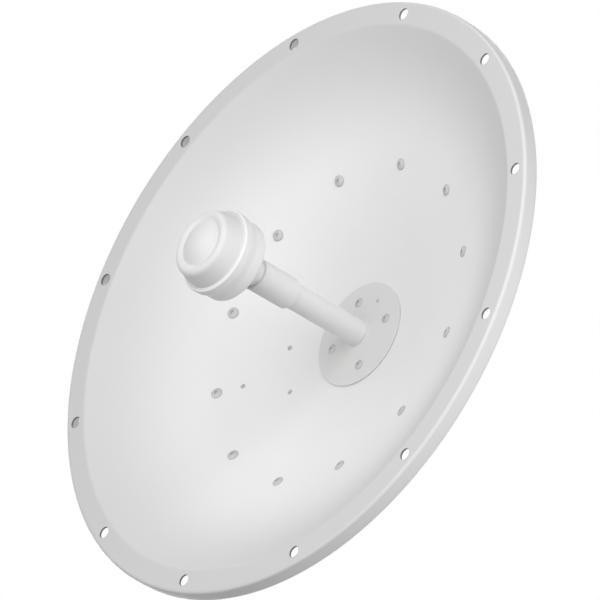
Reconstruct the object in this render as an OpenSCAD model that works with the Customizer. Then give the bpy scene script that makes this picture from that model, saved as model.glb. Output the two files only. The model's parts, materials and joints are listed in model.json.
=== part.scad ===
// Parabolic dish antenna: a solid reflector with a front feed, on a mast clamp that tilts.
// The origin is on the mast axis, midway between the two clamps. The beam points along -Y.

/* [Reflector] */
// Outside diameter over the rim
dish_d = 650; // [560:1:760]
// Focal length of the parabola
focal_length = 229; // [215:1:260]
// Thickness of the spun sheet
sheet_t = 2; // [1.5:0.1:3]
// Width of the flat rim
rim_w = 25.5; // [22:0.5:36]
// Depth of the lip turned back round the rim
lip_depth = 17; // [10:0.5:26]
// Outside bend radius between the rim and the lip
lip_bend_r = 3.5; // [3.2:0.1:6]
// Number of cover holes in the rim
rim_hole_count = 12; // [6:1:24]
// Diameter of a cover hole
rim_hole_d = 12.5; // [7:0.5:13]
// Distance of the cover holes in from the edge of the rim
rim_hole_inset = 14; // [11:0.5:18]
// Margin of the flat seat at the centre round the feed flange
seat_margin = 1; // [0.5:0.1:4]
// Diameter of a drain hole
drain_d = 5.5; // [3:0.5:8]
// Distance of the two inner drain holes to the left of the axis
drain_inner_x = 93.5; // [80:0.5:105]
// Height of the two inner drain holes above and below the axis
drain_inner_y = 27; // [15:0.5:35]
// Distance of the outer drain hole in from the ring of pan screws
drain_outer_inset = 27.5; // [24:0.5:36]
// Thickness and overhang of the collar of a drain plug behind the dish
plug_collar = 1.2; // [1:0.1:1.6]
// Depth of the face of a drain plug below the face of the dish
plug_sink = 0.4; // [0.2:0.1:0.8]

/* [Back pan] */
// Thickness of the pressed pan
pan_t = 2.5; // [2:0.1:4]
// Radius of the ring of pan screws
pan_screw_r = 174.5; // [168:0.5:200]
// Number of pan screws
pan_screw_count = 12; // [6:1:18]
// Thread diameter of a pan screw
pan_screw_d = 6; // [5:0.5:6]
// Width of the pan flange under the screws
pan_flange_w = 28; // [24:1:36]
// Margin of the flat back plate round the ports
pan_margin = 6; // [4:0.5:12]
// Bend radius of the pan
pan_bend_r = 8; // [5:0.5:12]
// Distance of the back face of the pan behind the dish vertex
pan_back = 16.5; // [16:0.5:26]
// Radius of the hole in the middle of the pan
pan_bore_r = 20; // [15:1:24]

/* [Feed boom] */
// Outside diameter of the boom tube
tube_d = 27; // [26:0.5:30]
// Wall of the boom tube
tube_wall = 1.5; // [1:0.1:2]
// Diameter of the feed flange
flange_d = 114; // [104:1:114]
// Thickness of the feed flange at its edge
flange_edge_t = 1.6; // [1.4:0.1:3]
// Rise of the flange face from its edge to the tube
flange_rise = 1; // [1:0.1:5]
// Fillet between the flange face and the tube
flange_fillet_r = 1.5; // [1.5:0.1:4]
// Radius of the ring of flange screws
flange_screw_r = 38; // [35:0.5:41]
// Thread diameter of a flange screw
flange_screw_d = 5; // [4:0.5:5]
// Wall of the spigot that passes through the dish
spigot_wall = 4; // [3:0.5:5]
// Length of the spigot behind the dish face
spigot_len = 10; // [8:0.5:11]
// Thickness of the flange gasket
gasket_t = 0.5; // [0.5:0.1:1]
// Thickness of the clamp plate behind the dish
clamp_plate_t = 2; // [1.5:0.1:2.5]
// Diameter of the index pin
index_pin_d = 4; // [3:0.5:5]
// Outside diameter of the boom sleeve
sleeve_d = 33.4; // [31:0.2:36]
// Length of the boom sleeve
sleeve_len = 50; // [30:1:65]
// Chamfer at the rear of the sleeve
sleeve_chamfer = 2.5; // [1:0.1:4]
// Distance from the sleeve to the feed head
sleeve_to_head = 25.5; // [20:0.5:40]

/* [Feed head] */
// Distance of the rear of the head behind the focus
head_behind_focus = 50.5; // [46:0.5:62]
// Outside diameter of the rear cup
cup_d = 86; // [84:0.5:96]
// Depth of the straight part of the cup
cup_straight = 14.5; // [12:0.5:18]
// Depth of the flared part of the cup
cup_flare = 9; // [8:0.5:12]
// Depth of the band at the mouth of the cup
cup_band = 8; // [6:0.5:10]
// Growth of the cup radius over the flare
cup_growth = 2.2; // [2:0.1:4]
// Wall of the cup and of the cap
head_wall = 2.6; // [2.6:0.1:3.2]
// Bend radius at the rear of the cup
cup_bend_r = 5; // [3.3:0.1:6]
// Length of the taper of the cap beyond the cup
cap_taper_len = 24; // [20:0.5:28]
// Step of the cap inward from the mouth of the cup
cap_step = 1.4; // [1:0.1:2]
// Radius of the cap where the taper meets the nose plane
nose_r = 34.5; // [33.5:0.5:37]
// Bend radius of the nose ring
nose_bend_r = 6; // [4:0.5:7]
// Radius of the dome inside the nose ring
dome_r = 25; // [20:0.5:26]
// Depth of the groove between the nose plane and the dome
nose_groove = 4.5; // [3:0.5:6]
// Height of the dome above that groove
dome_rise = 7.5; // [4:0.5:12]
// Thickness of the dipole board
board_t = 1.6; // [1:0.1:2.4]
// Radius of the dipole board
board_r = 30; // [24:0.5:33]
// Distance of the dipole board behind the splash plate
board_gap = 12; // [8:0.5:15]
// Thickness of the splash plate
splash_t = 1.5; // [1:0.1:2.5]

/* [Radio ports] */
// Distance of each port outside the tilt bracket
port_clear = 25.6; // [22:0.1:32]
// Diameter of the threaded barrel
port_d = 15.8; // [14:0.2:18]
// Length of the barrel beyond its nut
port_len = 10; // [8:0.5:14]
// Diameter of the shank that passes through the pan
port_shank_d = 17.4; // [17:0.2:20]
// Thickness of the nut behind the pan
port_nut_t = 3; // [2:0.5:4]
// Diameter of one coaxial line
coax_d = 3.6; // [2.5:0.1:3.8]
// Spread of the two lines in the boom, from the axis
coax_x = 6.5; // [5:0.1:7]

/* [Mast mount] */
// Diameter of the mast
mast_d = 50; // [44:0.5:56]
// Thickness of the two folded brackets
bracket_t = 3; // [2.5:0.1:4]
// Distance from the tilt bracket to the pivot
pivot_clear = 26.5; // [25.5:0.5:30]
// Distance from the pivot to the web of the pole bracket
web_gap = 14; // [13:0.5:20]
// Height of the lock bolts above the clamps
lock_rise = 17; // [16.5:0.5:20]
// Elevation range to each side
tilt_range = 15; // [5:1:15]
// Distance between the two clamps
clamp_pitch = 58; // [54:1:60]
// Height of a saddle
saddle_h = 20; // [14:1:24]
// Thickness of a saddle under the mast
saddle_floor = 3; // [3:0.5:6]
// Thickness of the feet of a saddle
saddle_foot = 8; // [6:0.5:10]
// Margin between the saddle tips and the sides of the mast
saddle_side = 1; // [0.8:0.1:2]
// Height of the saddle tips behind the web
saddle_tip = 17; // [16.5:0.5:18.5]
// Thread diameter of the bracket, pivot, lock and clamp bolts
bolt_d = 8; // [7:0.5:8]
// Distance of the bracket bolts from the middle plane
bracket_bolt_x = 14; // [13:0.5:15]
// Height of the bracket bolts above and below the axis
bracket_bolt_y = 42; // [40:0.5:46]
// Thread of a clamp leg left beyond its nut
leg_spare = 7; // [5:0.5:8]
// Thread of every other bolt and screw left beyond its nut
thread_spare = 2; // [1:0.5:3]

/* [Clearances] */
// Radial clearance of a part pushed over another
slip_gap = 0.05; // [0.03:0.01:0.1]
// Radial clearance of a bolt in a plain hole
bolt_gap = 0.3; // [0.2:0.05:0.5]
// Radial clearance of the pivot bolts in the tilt bracket
pivot_gap = 0.05; // [0.02:0.01:0.1]
// Side clearance between the ears of the two brackets
ear_gap = 0.4; // [0.3:0.1:1]
// Clearance between the mast and the bend of a U-bolt
mast_gap = 0.2; // [0.1:0.05:0.5]
// Seating clearance on the curved face of the dish
seat_gap = 0.15; // [0.12:0.01:0.3]

/* [Hidden] */
$fn = 96;
over = 1;

// The dish, in its own axis: z runs forward from the vertex of the front face
aperture_r = dish_d / 2 - rim_w;
dish_depth = parabola(aperture_r);
flange_r = flange_d / 2;
seat_r = flange_r + seat_margin;
seat_z = parabola(seat_r);
dish_steps = 20;
bend_steps = 5;
rim_hole_r = dish_d / 2 - rim_hole_inset;
drain_outer_x = pan_screw_r - drain_outer_inset;
drains = [[-drain_inner_x, drain_inner_y], [-drain_inner_x, -drain_inner_y], [-drain_outer_x, 0]];

// The feed, forward of the dish
tube_r = tube_d / 2;
tube_bore_r = tube_r - tube_wall;
spigot_r = tube_r + slip_gap + spigot_wall;
tail_z = seat_z - spigot_len;
flange_z = seat_z + gasket_t;
flange_edge_z = flange_z + flange_edge_t;
clamp_plate_z = seat_z - sheet_t - clamp_plate_t;
clamp_plate_r = flange_screw_r + 2 * flange_screw_d;
plug_len = 8;
plug_recess = 3.4;
plug_z = tail_z + plug_recess;
cup_z = focal_length - head_behind_focus;
cup_r = cup_d / 2;
seal_t = 1.5;
cup_seat_z = cup_z + cup_straight + cup_flare - seal_t;
cup_mouth_z = cup_z + cup_straight + cup_flare + cup_band;
mouth_r = cup_r + cup_growth;
cap_fit = 0.2;
cap_r = mouth_r - head_wall - cap_fit;
cap_rim_z = cup_seat_z + seal_t;
nose_z = cup_mouth_z + cap_taper_len;
groove_z = nose_z - nose_groove;
dome_ball_r = (dome_r * dome_r + dome_rise * dome_rise) / (2 * dome_rise);
groove_turn = asin(dome_r / dome_ball_r) + atan2(nose_groove, nose_r - dome_r);
splash_z = groove_z - head_wall / cos(groove_turn / 2) - splash_t - seat_gap;
board_z = splash_z - board_gap;
post_r = 6;
post_foot_r = 8;
post_plug_len = 14;
ring_len = 4;
tube_end_z = cup_z + head_wall + 2 * ring_len;
cup_ring_r = tube_r + 6;

// The ports and the lines that feed them
port_seal_t = 1;
port_body_r = port_shank_d / 2 + 1.5;
port_body_h = 9;
port_nut_r = port_shank_d * 0.68;
pan_z = pan_t - pan_back;
coax_z = pan_z + coax_d / 2 + 2;
coax_bend_r = 2 * coax_d;
port_bore_r = port_d / 2 - 2.5;
contact_r = 1.5;

// The mount, measured as the distance b behind the vertex
base_b = pan_back;
pivot_b = base_b + bracket_t + pivot_clear;
web_b = pivot_b + web_gap;
mast_b = web_b + bracket_t + saddle_floor + mast_d / 2;
leg_x = mast_d / 2 + mast_gap + bolt_d / 2;
nut_room = 1.92;
pole_half = leg_x + nut_r(bolt_d) + nut_room + nut_h(bolt_d);
tilt_half = pole_half + ear_gap + bracket_t;
clamp_y = clamp_pitch / 2;
saddle_half = leg_x + bolt_d;
pivot_ear_r = bolt_d / 2 + 10;
lock_r = clamp_y + lock_rise;
lock_ear_r = bolt_d / 2 + 7;
slot_edge = bolt_d / 2 + 6;
web_low = clamp_y + saddle_h / 2 + 5;
web_top = lock_r + lock_ear_r;
leg_end_b = web_b - washer_t(bolt_d) - nut_h(bolt_d) - leg_spare;
port_x = tilt_half + port_clear;
pan_plate_r = port_x + port_nut_r + pan_margin;

// Standard proportions of threaded fasteners, from the thread diameter
function nut_r(d) = 0.935 * d;
function nut_h(d) = 0.8 * d;
function head_h(d) = 0.65 * d;
function washer_r(d) = d;
function washer_t(d) = 0.2 * d;
function button_r(d) = d;
function button_h(d) = 0.4 * d;

// Height of the parabola, and the slope of its face in degrees
function parabola(r) = r * r / (4 * focal_length);
function slope(r) = atan(r / (2 * focal_length));

// Unit vector, its left-hand normal, and a list backwards
function unit(v) = v / norm(v);
function left(v) = [-v[1], v[0]];
function backwards(list) = [for (i = [len(list) - 1:-1:0]) list[i]];

// Points of an arc about a centre
function arc(centre, r, from, to, steps) =
    [for (i = [0:steps]) let (a = from + (to - from) * i / steps) centre + r * [cos(a), sin(a)]];

// Points of the round corner of radius r at q, between the directions to p and to s
function corner(p, q, s, r) =
    let (
        u = unit(p - q),
        v = unit(s - q),
        half = acos(u * v) / 2,
        centre = q + unit(u + v) * r / sin(half),
        start = q + u * r / tan(half) - centre,
        end = q + v * r / tan(half) - centre,
        from = atan2(start[1], start[0]),
        turn = (atan2(end[1], end[0]) - from + 900) % 360 - 180
    )
    arc(centre, r, from, from + turn, bend_steps);

// The path moved by t to its left, with mitred corners, and kept on its own side of the axis
function beside(path, t) =
    let (last = len(path) - 1)
    [for (i = [0:last])
        let (
            before = left(unit(path[max(i, 1)] - path[max(i, 1) - 1])),
            after = left(unit(path[min(i, last - 1) + 1] - path[min(i, last - 1)])),
            moved = path[i] + t * (before + after) / (1 + before * after)
        )
        [max(moved[0], 0), moved[1]]];

// A sheet of thickness t, spun round the axis from a path of its one face
module spun_sheet(path, t) {
    rotate_extrude() polygon(concat(path, backwards(beside(path, t))));
}

// Puts the dish axis, with z forward, into place in front of the mast
module on_axis() {
    translate([0, -mast_b, 0]) rotate([90, 0, 0]) children();
}

// Stands a piece on the dish face at a radius and an angle, square to the face
module on_face(r, angle) {
    rotate([0, 0, angle])
        translate([r, 0, parabola(r)])
            rotate([0, -slope(r), 0])
                children();
}

// Copies a piece round the axis
module ring(count) {
    for (i = [0:count - 1])
        rotate([0, 0, 360 * i / count])
            children();
}

// A bore or pin of diameter d between two heights
module rod(d, from, to) {
    translate([0, 0, from]) cylinder(d = d, h = to - from);
}

// A tube between two heights
module pipe(outer_r, inner_r, from, to) {
    difference() {
        rod(2 * outer_r, from, to);
        rod(2 * inner_r, from - over, to + over);
    }
}

// A flat plate across the axis, from b to the back
module cross_plate(b, t) {
    translate([0, 0, -b - t]) linear_extrude(t) children();
}

// A flat plate beside the axis, from x outward, drawn as b against height
module side_plate(x, t) {
    translate([x, 0, 0]) rotate([0, 90, 0]) linear_extrude(t) children();
}

// A shape at b and a height, with its own z turned to +x
module sideways(b, y) {
    translate([0, y, -b]) rotate([0, 90, 0]) children();
}

// The two sides of the middle plane
module both_sides() {
    children();
    mirror([1, 0, 0]) children();
}

module nut(d) {
    difference() {
        cylinder(r = nut_r(d), h = nut_h(d), $fn = 6);
        rod(d + 2 * slip_gap, -over, nut_h(d) + over);
    }
}

module washer(d) {
    pipe(washer_r(d), d / 2 + bolt_gap, 0, washer_t(d));
}

// Hexagon bolt, head upward, underside of the head at 0
module bolt(d, len) {
    cylinder(r = nut_r(d), h = head_h(d), $fn = 6);
    rod(d, -len, over / 2);
}

// Button-head screw with a hexagon recess, underside of the head at 0
module button_screw(d, len) {
    r = button_r(d);
    h = button_h(d);
    crown = h * 0.7;
    ball = (r * r + crown * crown) / (2 * crown);
    difference() {
        union() {
            rotate_extrude()
                polygon(concat(
                    [[0, 0], [r, 0], [r, h - crown]],
                    arc([0, h - ball], ball, acos(r / ball), 90, bend_steps)));
            rod(d, -len, h / 2);
        }
        translate([0, 0, h * 0.35]) cylinder(r = d * 0.38, h = h, $fn = 6);
    }
}

// The four places of the bracket bolts
module bracket_pattern() {
    for (x = [-bracket_bolt_x, bracket_bolt_x], y = [-bracket_bolt_y, bracket_bolt_y])
        translate([x, y, 0])
            children();
}

// The four places of the flange screws
module flange_pattern() {
    ring(4) translate([flange_screw_r, 0, 0]) children();
}

// The three places of the drain holes
module drain_pattern() {
    for (place = drains)
        on_face(norm(place), atan2(place[1], place[0]))
            children();
}

// The place of the index pin, between two flange screws
module index_place() {
    rotate([0, 0, 45]) translate([flange_screw_r, 0, 0]) children();
}

// The four places of the clamp legs
module leg_pattern() {
    for (x = [-leg_x, leg_x], y = [-clamp_y, clamp_y])
        translate([x, y, 0])
            children();
}

// Spun steel reflector with its flat rim and turned-back lip
module reflector() {
    outer = [dish_d / 2, dish_depth];
    tip = [dish_d / 2, dish_depth - lip_depth];
    bowl = [for (i = [0:dish_steps])
        let (r = seat_r + (aperture_r - seat_r) * i / dish_steps) [r, parabola(r)]];
    face = concat(
        [[spigot_r + bolt_gap, seat_z]],
        bowl,
        corner([aperture_r, dish_depth], outer, tip, lip_bend_r),
        [tip]);
    color("white") on_axis() difference() {
        spun_sheet(face, -sheet_t);
        ring(rim_hole_count)
            translate([rim_hole_r, 0, 0])
                rod(rim_hole_d, dish_depth - sheet_t - over, dish_depth + over);
        ring(pan_screw_count)
            on_face(pan_screw_r, 0)
                rod(pan_screw_d + 2 * bolt_gap, -sheet_t - over, over);
        flange_pattern()
            rod(flange_screw_d + 2 * bolt_gap, seat_z - sheet_t - over, seat_z + over);
        index_place()
            rod(index_pin_d + 2 * slip_gap, seat_z - sheet_t - over, seat_z + over);
        drain_pattern() rod(drain_d, -sheet_t - over, over);
    }
}

// Soft plugs pressed into the drain holes from behind
module drain_plugs() {
    back = -sheet_t - seat_gap;
    color("lightgray") on_axis() drain_pattern() {
        rod(drain_d - 2 * slip_gap, back - plug_collar, -plug_sink);
        rod(drain_d + 2 * plug_collar, back - plug_collar, back);
    }
}

// Pressed steel pan that stiffens the dish and carries the mount
module back_pan() {
    a = slope(pan_screw_r);
    seat = [pan_screw_r, parabola(pan_screw_r)] + (sheet_t + seat_gap) * [sin(a), -cos(a)];
    along = [cos(a), sin(a)];
    edge = seat + along * pan_flange_w / 2;
    root = seat - along * pan_flange_w / 2;
    foot = [pan_plate_r, pan_z];
    bore = [pan_bore_r, pan_z];
    face = concat(
        [edge],
        corner(edge, root, foot, pan_bend_r),
        corner(root, foot, bore, pan_bend_r),
        [bore]);
    color("silver") on_axis() difference() {
        spun_sheet(face, pan_t);
        ring(pan_screw_count)
            on_face(pan_screw_r, 0)
                rod(pan_screw_d + 2 * bolt_gap, -sheet_t - 3 * pan_t, over);
        bracket_pattern()
            rod(bolt_d + 2 * bolt_gap, -pan_back - over, pan_z + over);
        both_sides()
            translate([port_x, 0, 0])
                rod(port_shank_d + 2 * bolt_gap, -pan_back - over, pan_z + over);
    }
}

module pan_screws() {
    stack = sheet_t + 2 * seat_gap + pan_t;
    color("gainsboro") on_axis()
        ring(pan_screw_count)
            on_face(pan_screw_r, 0)
                translate([0, 0, seat_gap])
                    button_screw(pan_screw_d, stack + nut_h(pan_screw_d) + thread_spare);
}

module pan_nuts() {
    color("silver") on_axis()
        ring(pan_screw_count)
            on_face(pan_screw_r, 0)
                translate([0, 0, -sheet_t - 2 * seat_gap - pan_t - nut_h(pan_screw_d)])
                    nut(pan_screw_d);
}

// Turned flange that holds the boom, with a spigot through the dish
module feed_flange() {
    bore_r = tube_r + slip_gap;
    weld_r = bore_r + 0.5;
    edge = [flange_r, flange_edge_z];
    top = [weld_r, flange_edge_z + flange_rise];
    lip = top + [0, flange_fillet_r + over];
    color("white") on_axis() difference() {
        rotate_extrude()
            polygon(concat(
                [[bore_r, tail_z], [spigot_r, tail_z], [spigot_r, flange_z], [flange_r, flange_z], edge],
                corner(edge, top, lip, flange_fillet_r),
                [lip, [bore_r, lip[1]]]));
        flange_pattern() {
            rod(flange_screw_d + 2 * bolt_gap, flange_z - over, lip[1]);
            rod(2 * (button_r(flange_screw_d) + bolt_gap), flange_edge_z, lip[1]);
        }
        index_place() rod(index_pin_d + 2 * slip_gap, flange_z - over, lip[1]);
    }
}

module flange_gasket() {
    color("dimgray") on_axis() difference() {
        pipe(flange_r - 2, spigot_r + bolt_gap, seat_z, flange_z);
        flange_pattern() rod(flange_screw_d + 2 * bolt_gap, seat_z - over, flange_z + over);
        index_place() rod(index_pin_d + 2 * bolt_gap, seat_z - over, flange_z + over);
    }
}

module flange_screws() {
    flange_grip = flange_edge_z - clamp_plate_z;
    color("gainsboro") on_axis()
        flange_pattern()
            translate([0, 0, flange_edge_z])
                button_screw(flange_screw_d, flange_grip + nut_h(flange_screw_d) + thread_spare);
}

module clamp_plate() {
    color("silver") on_axis() difference() {
        pipe(clamp_plate_r, spigot_r + bolt_gap, clamp_plate_z, seat_z - sheet_t);
        flange_pattern()
            rod(flange_screw_d + 2 * bolt_gap, clamp_plate_z - over, seat_z);
        index_place()
            rod(index_pin_d + 2 * bolt_gap, clamp_plate_z - over, seat_z);
    }
}

module flange_nuts() {
    color("silver") on_axis()
        flange_pattern()
            translate([0, 0, clamp_plate_z - nut_h(flange_screw_d)])
                nut(flange_screw_d);
}

// Dowel that sets the polarisation of the feed
module index_pin() {
    color("gainsboro") on_axis()
        index_place()
            rod(index_pin_d, seat_z - sheet_t, flange_edge_z + flange_rise / 2 + 0.4);
}

module feed_tube() {
    color("white") on_axis() pipe(tube_r, tube_bore_r, tail_z, tube_end_z);
}

// Sleeve on the boom, chamfered at its rear
module feed_sleeve() {
    front = cup_z - sleeve_to_head;
    rear = front - sleeve_len;
    r = sleeve_d / 2;
    bore_r = tube_r + slip_gap;
    nip = min(sleeve_chamfer, r - bore_r - 0.4);
    color("whitesmoke") on_axis()
        rotate_extrude()
            polygon([
                [bore_r, rear], [r - nip, rear], [r, rear + sleeve_chamfer],
                [r, front], [bore_r, front]]);
}

// Rubber plug at the tail of the boom, with a hole for each line
module tube_plug() {
    color("dimgray") on_axis() difference() {
        rod(2 * (tube_bore_r - slip_gap), plug_z, plug_z + plug_len);
        both_sides()
            translate([coax_x, 0, 0])
                rod(coax_d + 2 * slip_gap, plug_z - over, plug_z + plug_len + over);
    }
}

// The two lines: along the boom, round a bend and across to the ports
module coax_lines() {
    turn_z = coax_z + coax_bend_r;
    run_x = coax_x + coax_bend_r;
    end_x = port_x - port_body_r - seat_gap;
    color("peru") on_axis() both_sides() {
        translate([coax_x, 0, 0]) rod(coax_d, turn_z, tube_end_z - post_plug_len);
        translate([run_x, 0, turn_z])
            rotate([90, 0, 0])
                rotate_extrude(angle = 90, start = 180)
                    translate([coax_bend_r, 0])
                        circle(d = coax_d);
        translate([run_x, 0, coax_z]) rotate([0, 90, 0]) rod(coax_d, 0, end_x - run_x);
    }
}

// Ring on the boom that the cup is pulled against
module cup_stop() {
    color("silver") on_axis() pipe(cup_ring_r, tube_r + slip_gap, cup_z - ring_len, cup_z);
}

// Rear half of the feed head, flared to a band at its mouth
module feed_cup() {
    wall_r = cup_r - head_wall;
    flare_z = cup_z + cup_straight;
    hole_r = tube_r + bolt_gap;
    outer = concat(
        [[hole_r, cup_z]],
        corner([hole_r, cup_z], [cup_r, cup_z], [cup_r, flare_z], cup_bend_r),
        [[cup_r, flare_z], [mouth_r, flare_z + cup_flare], [mouth_r, cup_mouth_z]]);
    inner = [
        [mouth_r - head_wall, cup_mouth_z], [mouth_r - head_wall, cup_seat_z],
        [wall_r, cup_seat_z], [wall_r, cup_z + head_wall], [hole_r, cup_z + head_wall]];
    color("whitesmoke") on_axis() rotate_extrude() polygon(concat(outer, inner));
}

module cup_nut() {
    from = cup_z + head_wall;
    color("silver") on_axis() pipe(cup_ring_r, tube_r + slip_gap, from, from + ring_len);
}

module cap_seal() {
    color("dimgray") on_axis()
        pipe(cap_r, cup_r - head_wall + cap_fit, cup_seat_z, cap_rim_z);
}

// Front half of the feed head, with a rounded nose ring, a groove and a dome
module feed_cap() {
    rim = [cap_r, cap_rim_z];
    shoulder = [cap_r, cup_mouth_z];
    neck = [cap_r - cap_step, cup_mouth_z];
    nose = [nose_r, nose_z];
    groove = [dome_r, groove_z];
    dome_centre = [0, groove_z + dome_rise - dome_ball_r];
    outer = concat(
        [rim, shoulder, neck],
        corner(neck, nose, groove, nose_bend_r),
        arc(dome_centre, dome_ball_r, acos(dome_r / dome_ball_r), 90, bend_steps));
    color("whitesmoke") on_axis() spun_sheet(outer, head_wall);
}

// Insulating post in the end of the boom that carries the radiator
module dipole_post() {
    plug_r = tube_bore_r - slip_gap;
    foot = tube_end_z - post_plug_len;
    color("ivory") on_axis()
        rotate_extrude()
            polygon([
                [0, foot], [plug_r, foot], [plug_r, tube_end_z], [post_foot_r, tube_end_z],
                [post_foot_r, board_z], [post_r, board_z], [post_r, splash_z], [0, splash_z]]);
}

module dipole_board() {
    color("darkgreen") on_axis() pipe(board_r, post_r + slip_gap, board_z, board_z + board_t);
}

// Disc that turns the wave back on the dish, held under the groove of the cap
module splash_plate() {
    color("silver") on_axis() rod(2 * (dome_r + 4), splash_z, splash_z + splash_t);
}

// Bulkhead connectors: a body inside the pan and a barrel behind it
module rf_ports() {
    body_z = pan_z + port_seal_t;
    end_z = -pan_back - port_nut_t - port_len;
    color("silver") on_axis() both_sides() translate([port_x, 0, 0]) difference() {
        union() {
            rod(2 * port_body_r, body_z, body_z + port_body_h);
            rod(port_shank_d, -pan_back - port_nut_t, body_z + over);
            rod(port_d, end_z, -pan_back);
        }
        rod(2 * port_bore_r, end_z - over, -pan_back);
    }
}

module port_insulators() {
    color("ivory") on_axis() both_sides() translate([port_x, 0, 0])
        pipe(port_bore_r - slip_gap, contact_r + slip_gap, -pan_back - port_nut_t, -pan_back);
}

module port_contacts() {
    color("gold") on_axis() both_sides() translate([port_x, 0, 0])
        rod(2 * contact_r, -pan_back - port_nut_t - port_len / 2, -pan_back);
}

module port_seals() {
    color("dimgray") on_axis() both_sides() translate([port_x, 0, 0])
        pipe(port_body_r, port_shank_d / 2 + slip_gap, pan_z, pan_z + port_seal_t);
}

module port_nuts() {
    color("silver") on_axis() both_sides() translate([port_x, 0, -pan_back - port_nut_t]) difference() {
        cylinder(r = port_nut_r, h = port_nut_t, $fn = 6);
        rod(port_shank_d + 2 * slip_gap, -over, port_nut_t + over);
    }
}

// Folded bracket on the pan, with a pivot hole and an arc slot in each ear
module tilt_bracket() {
    pivot = [pivot_b, 0];
    reach = lock_r + slot_edge;
    spread = tilt_range + 13;
    crown = arc(pivot, reach, 90 - spread, 90 + spread, 4 * bend_steps);
    base_low = bracket_bolt_y + 10;
    base_top = reach * cos(spread);
    color("lightsteelblue") on_axis() {
        difference() {
            cross_plate(base_b, bracket_t)
                translate([-tilt_half, -base_low])
                    square([2 * tilt_half, base_low + base_top]);
            bracket_pattern() rod(bolt_d + 2 * bolt_gap, -base_b - 2 * bracket_t, over);
            rod(2 * pan_bore_r, -base_b - 2 * bracket_t, over);
        }
        both_sides() difference() {
            side_plate(tilt_half - bracket_t, bracket_t) {
                translate(pivot) circle(r = pivot_ear_r);
                polygon(concat(
                    [[base_b, -base_low], pivot - [0, pivot_ear_r], pivot + [pivot_ear_r, 0]],
                    crown,
                    [[base_b, base_top]]));
            }
            sideways(pivot_b, 0) rod(bolt_d + 2 * pivot_gap, 0, tilt_half + over);
            arc_slot();
        }
    }
}

// Cutter for the slot that the lock bolt runs in
module arc_slot() {
    half = bolt_d / 2 + bolt_gap;
    sideways(pivot_b, 0) {
        rotate([0, 0, 90 - tilt_range])
            rotate_extrude(angle = 2 * tilt_range)
                translate([lock_r - half, 0])
                    square([2 * half, tilt_half + over]);
        for (end = [-tilt_range, tilt_range])
            rotate([0, 0, 90 + end])
                translate([lock_r, 0, 0])
                    rod(2 * half, 0, tilt_half + over);
    }
}

module bracket_bolts() {
    grip = pan_t + bracket_t + washer_t(bolt_d) + nut_h(bolt_d);
    color("silver") on_axis()
        bracket_pattern()
            translate([0, 0, pan_z])
                bolt(bolt_d, grip + thread_spare);
}

module bracket_washers() {
    color("silver") on_axis()
        bracket_pattern()
            translate([0, 0, -base_b - bracket_t - washer_t(bolt_d)])
                washer(bolt_d);
}

module bracket_nuts() {
    color("silver") on_axis()
        bracket_pattern()
            translate([0, 0, -base_b - bracket_t - washer_t(bolt_d) - nut_h(bolt_d)])
                nut(bolt_d);
}

// Folded bracket on the mast, inside the ears of the tilt bracket
module pole_bracket() {
    pivot = [pivot_b, 0];
    lock = [pivot_b, lock_r];
    back_b = web_b + bracket_t;
    color("lightsteelblue") on_axis() {
        difference() {
            cross_plate(web_b, bracket_t)
                translate([-pole_half, -web_low])
                    square([2 * pole_half, web_low + web_top]);
            leg_pattern() rod(bolt_d + 2 * bolt_gap, -back_b - over, 0);
        }
        both_sides() difference() {
            side_plate(pole_half - bracket_t, bracket_t) {
                translate(pivot) circle(r = pivot_ear_r - 1);
                translate(lock) circle(r = lock_ear_r);
                polygon([
                    pivot - [0, pivot_ear_r - 1], [back_b, -web_low], [back_b, web_top],
                    lock + [0, lock_ear_r], lock - [lock_ear_r, 0], pivot - [pivot_ear_r - 1, 0]]);
            }
            for (y = [0, lock_r])
                sideways(pivot_b, y) rod(bolt_d + 2 * bolt_gap, 0, tilt_half + over);
        }
    }
}

// Cast saddle with a round seat for the mast and a foot for each clamp leg
module mast_saddle(side) {
    foot_b = web_b + bracket_t;
    tip_half = mast_d / 2 - saddle_side;
    color("darkgray") on_axis() translate([0, side * clamp_y, 0]) difference() {
        translate([0, 0, -foot_b]) mirror([0, 0, 1]) union() {
            translate([-saddle_half, -saddle_h / 2, 0]) cube([2 * saddle_half, saddle_h, saddle_foot]);
            translate([-tip_half, -saddle_h / 2, 0]) cube([2 * tip_half, saddle_h, saddle_tip]);
        }
        translate([0, 0, -mast_b]) rotate([90, 0, 0]) rod(mast_d, -saddle_h, saddle_h);
        for (x = [-leg_x, leg_x])
            translate([x, 0, 0])
                rod(bolt_d + 2 * bolt_gap, -mast_b, 0);
    }
}

module upper_saddle() {
    mast_saddle(1);
}

module lower_saddle() {
    mast_saddle(-1);
}

// Places a side fastener at the height y of the pivot line, both sides, with z outward
module at_ear(y, x) {
    on_axis() both_sides() sideways(pivot_b, y) translate([0, 0, x]) children();
}

module ear_bolts(y) {
    len = 2 * bracket_t + ear_gap + washer_t(bolt_d) + nut_h(bolt_d) + thread_spare;
    color("silver") at_ear(y, tilt_half + washer_t(bolt_d)) bolt(bolt_d, len);
}

module ear_washers(y) {
    color("silver") at_ear(y, tilt_half) washer(bolt_d);
}

module ear_nuts(y) {
    color("silver") at_ear(y, pole_half - bracket_t - nut_h(bolt_d)) nut(bolt_d);
}

module pivot_bolts() {
    ear_bolts(0);
}

module pivot_washers() {
    ear_washers(0);
}

module pivot_nuts() {
    ear_nuts(0);
}

module lock_bolts() {
    ear_bolts(lock_r);
}

module lock_washers() {
    ear_washers(lock_r);
}

module lock_nuts() {
    ear_nuts(lock_r);
}

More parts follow.
